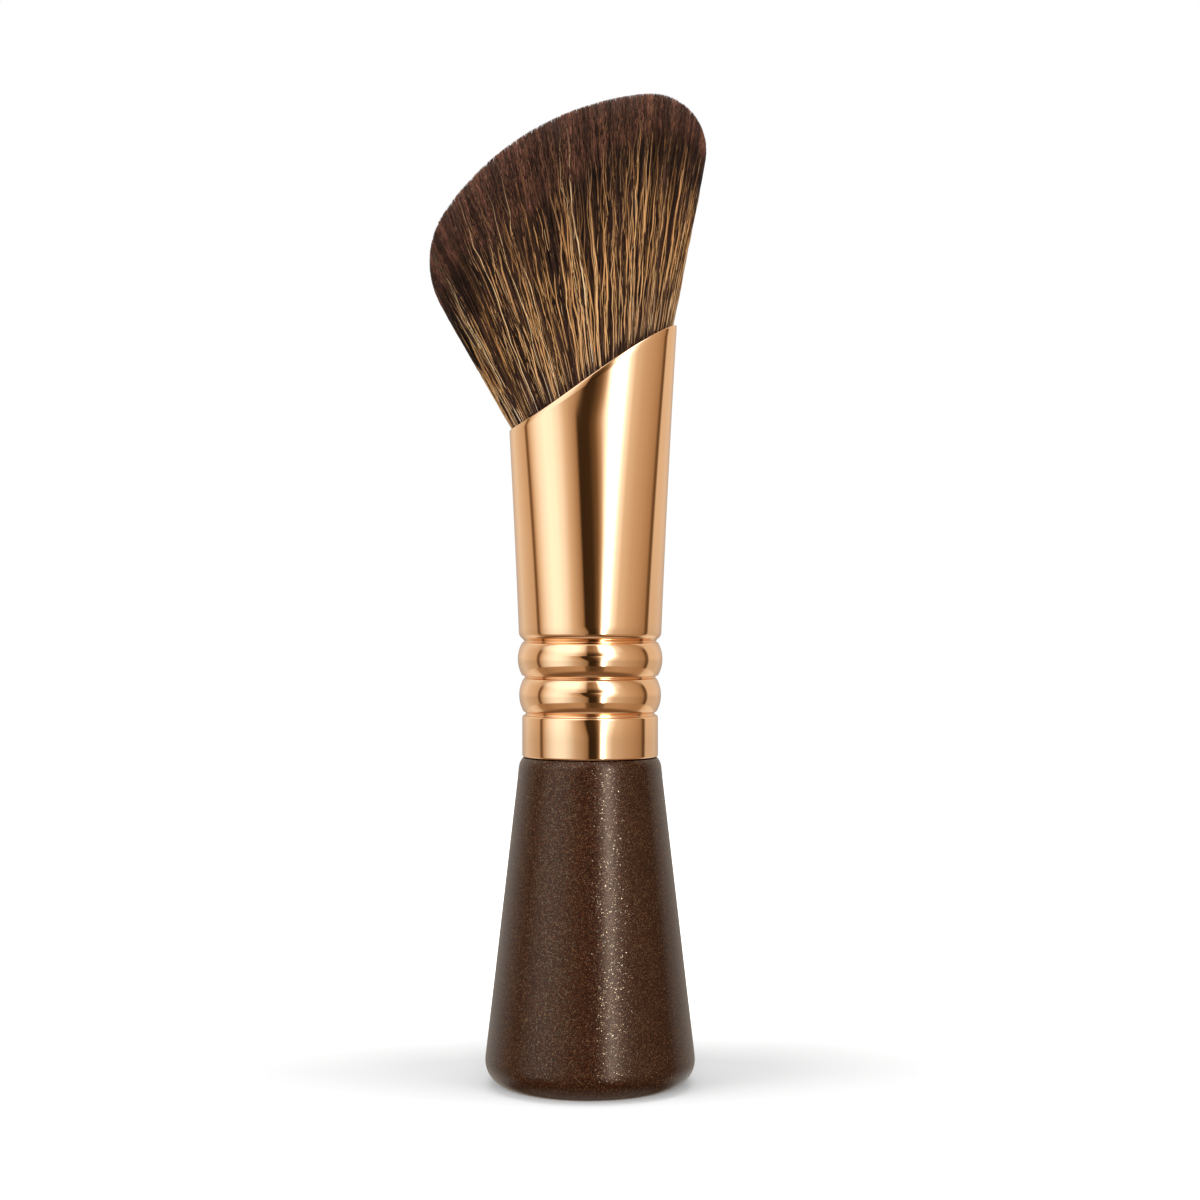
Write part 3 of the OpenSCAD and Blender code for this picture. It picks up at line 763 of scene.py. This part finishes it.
def dark_hairs(mat, rng):
    """Dark hairs all over the tuft, in a piece for its front and one for its back."""
    for name, half in (("dark_hair_front", 0), ("dark_hair_back", 1)):
        turn = np.pi * (half + rng.uniform(0.0, 1.0, DARK_HAIRS))
        layer = 1 - rng.uniform(0, 0.10, DARK_HAIRS)
        ends = 1 - rng.exponential(0.06, DARK_HAIRS).clip(0, 0.35)
        piece = side_hairs(name, turn, layer, ends, rng, DARK_POINTS, [(11, 0.12), (4.5, 0.05)],
                           DARK_R, 0.012, -0.004)
        finish_piece(piece, name, mat, "dark_hair")


def golden_hairs(mat, rng):
    """Golden hairs in fine locks and in singles, a few more of them towards the high side, and with
    one strand in 24 laid at a flank."""
    strands = GOLD_LOCKS + GOLD_SINGLES
    members = np.concatenate([rng.integers(2, 6, GOLD_LOCKS), rng.integers(1, 3, GOLD_SINGLES)])
    strand = np.repeat(np.arange(strands), members)
    locked = strand < GOLD_LOCKS
    count = len(strand)
    around = np.linspace(0, 2 * np.pi, 361)
    share = around - 0.16 * np.sin(around)
    place = [(rng.permutation(n) + rng.uniform(0, 1, n)) / n for n in (GOLD_LOCKS, GOLD_SINGLES)]
    turn = np.interp(np.concatenate(place) * 2 * np.pi, share, around)
    flanks = len(turn[::24])
    turn[::24] = np.pi * rng.integers(0, 2, flanks) + rng.normal(0, 0.22, flanks)
    turn = (turn[strand] + rng.normal(0, 0.0026, count)) % (2 * np.pi)
    deep = rng.uniform(0, 1, strands)[strand] * np.where(locked, 0.016, 0.042)
    layer = 1 - deep - rng.uniform(0, 0.006, count)
    ends = (rng.uniform(0.84, 1.0, strands)[strand] - rng.uniform(0, 0.03, count)).clip(0, 1)
    tone = rng.uniform(0, 1, strands)[strand]
    tone = np.where(locked, 0.45 + 0.5 * tone, tone) + rng.normal(0, 0.08, count)
    piece = side_hairs("golden_hairs", turn, layer, ends, rng, GOLD_POINTS,
                       [(10, 0.17), (4.4, 0.12), (2.1, 0.04)], GOLD_R, 0.010, 0.006, strand, tone)
    finish_piece(piece, "golden_hairs", mat, "golden_hair", "golden_hair")


def make_tuft():
    """The whole tuft: its dark core and the separate hairs around it."""
    rng = np.random.default_rng(20)
    dark = hair_colour("dark_hair", DARK_STOPS, DARK_TONES, 0.1)
    tips = hair_colour("hair_tips", TIP_STOPS, TIP_TONES, 0.2)
    golden = hair_colour("golden_hair", GOLD_STOPS, GOLD_TONES, 0.45)
    tuft_core()
    dark_hairs(dark, rng)
    golden_hairs(golden, rng)
    for name, side in (("hair_tips_front", -1), ("hair_tips_back", 1)):
        finish_piece(crown_hairs(name, side, TIP_HAIRS, rng), name, tips, "dark_hair")


# Studio

# Height of the camera and of the dome's middle, distance of the camera and radius of the dome, in
# metres.
AXIS_HEIGHT, CAMERA_FAR, DOME_R = 0.0538, 0.256, 0.9

# Share of its full glow that the floor has close to the brush. The glow is a painted light that only the
# camera sees, which lightens the floor over the brush's cast shadow everywhere but in a band beside the
# foot.
FLOOR_GLOW = 0.19

# Height above the horizon, in degrees, up to which the studio's dark flag widens.
FLARE_TOP = 12.4

# Brightness of the studio around the brush, by the angle from the camera's side towards +X.
SIDE_TONES = [
    (-180, 0.45), (-132, 0.92), (-95, 0.68), (-91.5, 0.20), (-88.5, 0.20), (-85, 0.62), (-79, 0.90),
    (-68, 1.22), (-57, 1.50), (-46, 1.45), (-36, 1.12), (-27, 0.80), (-12, 0.40), (-9, 0.04),
    (5, 0.055), (12, 0.20), (16, 0.62), (19, 1.6), (21.5, 3.0), (23.5, 12.0), (28, 12.0), (31, 2.8),
    (36, 1.45), (46, 0.87), (62, 0.69), (80, 0.57), (95, 0.44), (99.5, 0.17), (104, 0.17),
    (108, 0.82), (138, 0.84), (180, 0.45),
]
UPPER_TONES = [
    (-180, 1.0), (-110, 0.9), (-95, 0.6), (-80, 1.2), (-57, 1.9), (-37, 1.9), (-18, 1.0), (-9, 0.3),
    (2, 0.32), (11, 0.6), (18, 4.0), (30, 4.0), (40, 1.3), (60, 0.7), (96, 0.45), (110, 0.8),
    (180, 1.0),
]
TABLE_TONES = [
    (-180, 0.62), (-150, 0.80), (-118, 0.92), (-105, 0.80), (-96, 0.42), (-80, 0.38), (-60, 0.49),
    (-20, 0.55), (-10, 0.50), (-6, 0.20), (2, 0.10), (12, 0.13), (22, 0.24), (27, 0.50), (50, 0.54),
    (85, 0.42), (100, 0.44), (110, 0.82), (125, 0.92), (180, 0.85),
]
# Light straight overhead; a dark band of painted shade in the mirrored table, where the undersides of the
# beads and of the handle's foot look, standing for the shade beneath them; and the lighter table further
# down.
OVERHEAD = (1.0, 1.0, 1.0)
SHADED_TABLE_BAND = (0.20, 0.13, 0.08)
TABLE_MIDDLE = (0.60, 0.55, 0.50)


def camera():
    """Level camera at the photograph's viewing angle, at the height of the brush's middle."""
    data = bpy.data.cameras.new("camera")
    data.sensor_width = 36
    data.lens = 69
    data.clip_start = 0.01
    data.clip_end = 20
    cam = linked("camera", data)
    cam.location = (0.0011, -CAMERA_FAR, AXIS_HEIGHT)
    cam.rotation_euler = (math.radians(90), 0, 0)
    bpy.context.scene.camera = cam


def bare_tree(owner, output):
    """Node tree of a material or a world, emptied but for a new output, and that output's socket."""
    owner.use_nodes = True
    owner.node_tree.nodes.clear()
    return owner.node_tree, owner.node_tree.nodes.new(output).inputs["Surface"]


def floor():
    """White floor with the brush's soft shadow on it, which fades into the white around it through a
    painted light
    that only the camera sees: weakest beside the foot, stronger in front of the brush and further out.
    """
    bpy.ops.mesh.primitive_circle_add(vertices=96, radius=0.45, fill_type="NGON", location=(0, 0, 0))
    plane = bpy.context.object
    plane.name = "floor"
    m = bpy.data.materials.new("white_floor")
    tree, surface = bare_tree(m, "ShaderNodeOutputMaterial")
    seen = tree.nodes.new("ShaderNodeLightPath").outputs["Is Camera Ray"]
    paint = tree.nodes.new("ShaderNodeBsdfDiffuse")
    # The floor's paint is darker to every ray but the camera's, so that it throws little light back onto
    # the brush.
    wire(tree, mixed(tree, seen, (0.22, 0.22, 0.22), (0.68, 0.68, 0.68)), paint.inputs["Color"])
    # Painted light: a glow that only the camera sees, weakest in a low, wide oval centred just behind the
    # foot and stronger in front and further out, so the real cast shadow shows only beside the foot.
    far = vector_maths(tree, "LENGTH", object_place(tree, (0.9, 2.5, 1), (0, -0.016, 0)))
    painted_light_strength = mapped(tree, far, FLOOR_GLOW, 1.0, 0.02, 0.15)
    glow = tree.nodes.new("ShaderNodeEmission")
    wire(tree, maths(tree, "MULTIPLY", painted_light_strength, seen), glow.inputs["Strength"])
    both = tree.nodes.new("ShaderNodeAddShader")
    wire(tree, paint.outputs[0], both.inputs[0])
    wire(tree, glow.outputs[0], both.inputs[1])
    wire(tree, both.outputs[0], surface)
    plane.data.materials.append(m)
    plane.visible_glossy = False


def world():
    """White surroundings, which light the brush more softly than they look."""
    w = bpy.data.worlds.new("studio")
    bpy.context.scene.world = w
    tree, surface = bare_tree(w, "ShaderNodeOutputWorld")
    soft, white = [tree.nodes.new("ShaderNodeBackground") for _ in range(2)]
    for shade, strength in ((soft, 0.35), (white, 1.0)):
        shade.inputs["Color"].default_value = (1, 1, 1, 1)
        shade.inputs["Strength"].default_value = strength
    path = tree.nodes.new("ShaderNodeLightPath")
    seen = maths(tree, "MAXIMUM", path.outputs["Is Camera Ray"], path.outputs["Is Glossy Ray"])
    seen = maths(tree, "MAXIMUM", seen, path.outputs["Is Transmission Ray"])
    pick = tree.nodes.new("ShaderNodeMixShader")
    for value, socket in zip((seen, soft.outputs[0], white.outputs[0]), pick.inputs):
        wire(tree, value, socket)
    wire(tree, pick.outputs[0], surface)


def warm(tone):
    """Colour of a tone in the studio, warmer where it is darker and cooler where it is very light."""
    return (tone, tone * min(1.15, 0.66 + 0.42 * tone ** 2), tone * min(1.35, 0.36 + 0.75 * tone ** 2))


def between(tree, height, low, high, start=0.0, end=1.0, smooth=True):
    """Value that goes from start to end between two heights above the horizon, in degrees."""
    low, high = math.sin(math.radians(low)), math.sin(math.radians(high))
    return mapped(tree, height, start, end, low, high, smooth)


def bell(tree, angle, middle, width):
    """Bell curve over the angle round the brush, with its middle and width in degrees, and how far
    the angle is from its middle."""
    off = maths(tree, "SUBTRACT", angle, math.radians(middle))
    part = maths(tree, "DIVIDE", off, math.radians(width))
    square = maths(tree, "MULTIPLY", part, part)
    return maths(tree, "EXPONENT", maths(tree, "MULTIPLY", square, -1.0)), off


def bent(tree, angle, height):
    """Angle round the brush after it is bent with the height, which slants the dark flag and the
    lamp beside it as the photograph's studio does."""
    near, off = bell(tree, angle, 15, 26)
    widen = maths(tree, "MULTIPLY", near, between(tree, height, -3.6, FLARE_TOP, -0.7, 0.68, False))
    near, _ = bell(tree, angle, -15, 25)
    swing = between(tree, height, FLARE_TOP, FLARE_TOP + 2.4, 0, math.radians(15), False)
    angle = maths(tree, "SUBTRACT", angle, maths(tree, "MULTIPLY", off, widen))
    angle = maths(tree, "SUBTRACT", angle, maths(tree, "MULTIPLY", near, swing))
    near, _ = bell(tree, angle, 19, 7)
    lean = between(tree, height, 6, 12.5, 0, math.radians(4), False)
    return maths(tree, "ADD", angle, maths(tree, "MULTIPLY", near, lean))


def tone_belt(tree, angle, tones, top):
    """Colours of one belt of the studio by the angle round the brush, as shares of the top tone."""
    share = maths(tree, "ADD", maths(tree, "DIVIDE", angle, 2 * math.pi), 0.5)
    return ramp(tree, share, [((a + 180) / 360, [c / top for c in warm(tone)]) for a, tone in tones])


def studio_dome():
    """Softboxes, dark flags and table around the brush, which only polished surfaces show."""
    bpy.ops.mesh.primitive_uv_sphere_add(segments=64, ring_count=32, radius=DOME_R,
                                         location=(0, 0, AXIS_HEIGHT))
    dome = bpy.context.object
    dome.name = "studio_dome"
    m = bpy.data.materials.new("studio_dome")
    tree, surface = bare_tree(m, "ShaderNodeOutputMaterial")
    place = tree.nodes.new("ShaderNodeTexCoord")
    split = tree.nodes.new("ShaderNodeSeparateXYZ")
    wire(tree, place.outputs["Object"], split.inputs[0])
    angle = maths(tree, "ARCTAN2", split.outputs[0], maths(tree, "MULTIPLY", split.outputs[1], -1.0))
    height = maths(tree, "DIVIDE", split.outputs[2], DOME_R)
    slanted = bent(tree, angle, height)
    top = max(tone for _, tone in SIDE_TONES)
    side = tone_belt(tree, slanted, SIDE_TONES, top)
    side = vector_maths(tree, "SCALE", side, scale=between(tree, height, -5, 1, 0.84, 1.0, False))
    colour = mixed(tree, between(tree, height, -22, -18), tone_belt(tree, angle, TABLE_TONES, top), side)
    colour = mixed(tree, between(tree, height, 18, 34), colour, tone_belt(tree, slanted, UPPER_TONES, top))
    # Overhead light, then a band of painted shade in the mirrored table, then the lighter table below it.
    for low, high, light in ((50, 72, OVERHEAD), (-34, -44, SHADED_TABLE_BAND), (-50, -62, TABLE_MIDDLE)):
        colour = mixed(tree, between(tree, height, low, high), colour, tuple(c / top for c in light))
    glow = tree.nodes.new("ShaderNodeEmission")
    glow.inputs["Strength"].default_value = top
    wire(tree, colour, glow.inputs["Color"])
    wire(tree, glow.outputs[0], surface)
    dome.data.materials.append(m)
    for rays in ("camera", "diffuse", "transmission", "shadow", "volume_scatter"):
        setattr(dome, "visible_" + rays, False)


def softbox(name, place, target, size, watts):
    """Rectangular lamp that lights the brush and isn't mirrored in it."""
    data = bpy.data.lights.new(name, "AREA")
    data.shape = "RECTANGLE"
    data.size, data.size_y = size
    data.energy = watts
    light = linked(name, data)
    light.location = place
    light.rotation_euler = (Vector(target) - Vector(place)).to_track_quat("-Z", "Y").to_euler()
    light.visible_camera = False
    light.visible_glossy = False


bpy.context.scene.view_settings.view_transform = "Standard"
camera()
world()
floor()
studio_dome()
softbox("left_softbox", (-0.45, -0.40, 0.35), (0, 0, 0.06), (0.35, 0.5), 1.45)
softbox("right_softbox", (0.20, -0.24, 0.32), (0, 0, 0.09), (0.12, 0.30), 0.19)
softbox("front_softbox", (0.03, -0.70, 0.22), (0, 0, 0.04), (0.30, 0.3), 2.65)
softbox("top_softbox", (0.0, 0.0, 0.6), (0, 0, 0.06), (0.5, 0.4), 1.8)
repaint("handle", pearl_lacquer())
repaint("glue_plug", set_glue())
ferrule_shell()
make_tuft()
